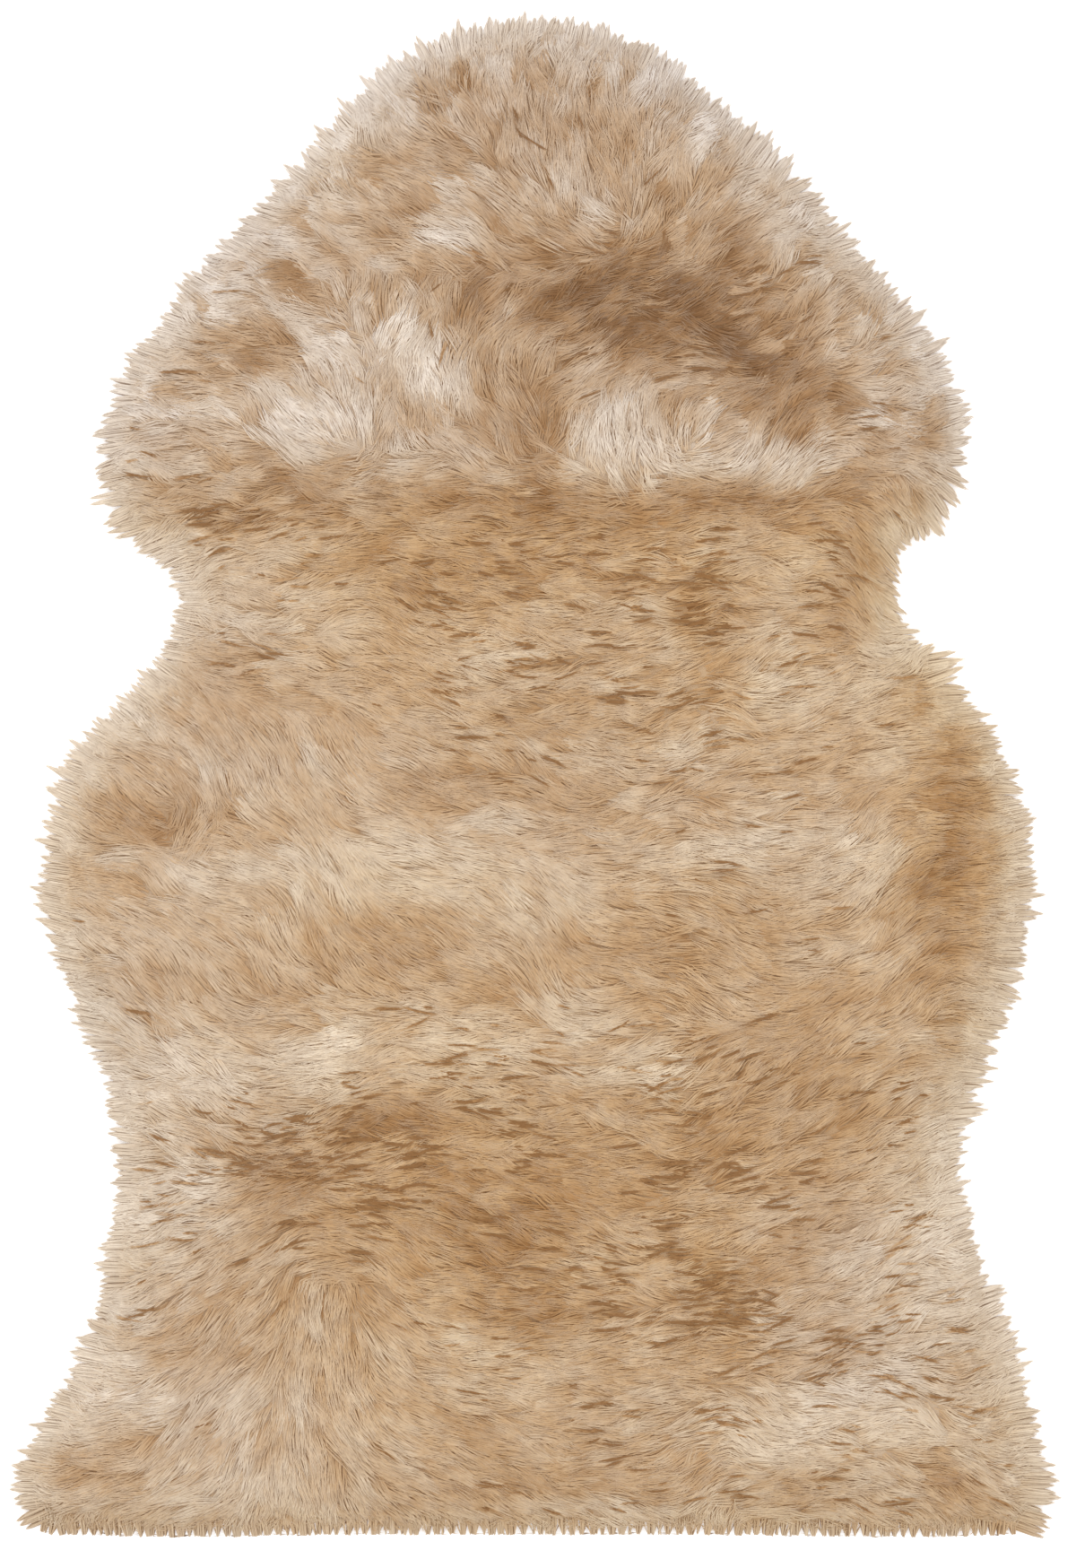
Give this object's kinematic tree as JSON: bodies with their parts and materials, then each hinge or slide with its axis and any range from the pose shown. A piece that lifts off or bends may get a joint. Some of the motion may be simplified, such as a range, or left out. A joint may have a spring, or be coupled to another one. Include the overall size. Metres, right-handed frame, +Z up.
{
  "type": "sheepskin rug",
  "caption": "Single-pelt sheepskin rug lying flat: long combed wool in mottled honey and cream on a tanned hide, with shaped flanks and a straight-cut hind edge.",
  "frame": {"origin": "on the floor, under the middle of the rug's bounding box", "axes": "+Y along the spine from the straight-cut hind edge to the neck, +Z up out of the wool, +X to the right of someone who stands at the hind edge and faces the neck"},
  "size_m": [0.6132, 0.901, 0.0514],
  "materials": {
    "tanned_hide": "pale suede, matt",
    "honey_wool": "long combed wool, mottled honey and cream"
  },
  "bodies": {
    "root": {"hide": "tanned_hide", "fleece": "honey_wool"}
  },
  "joints": []
}
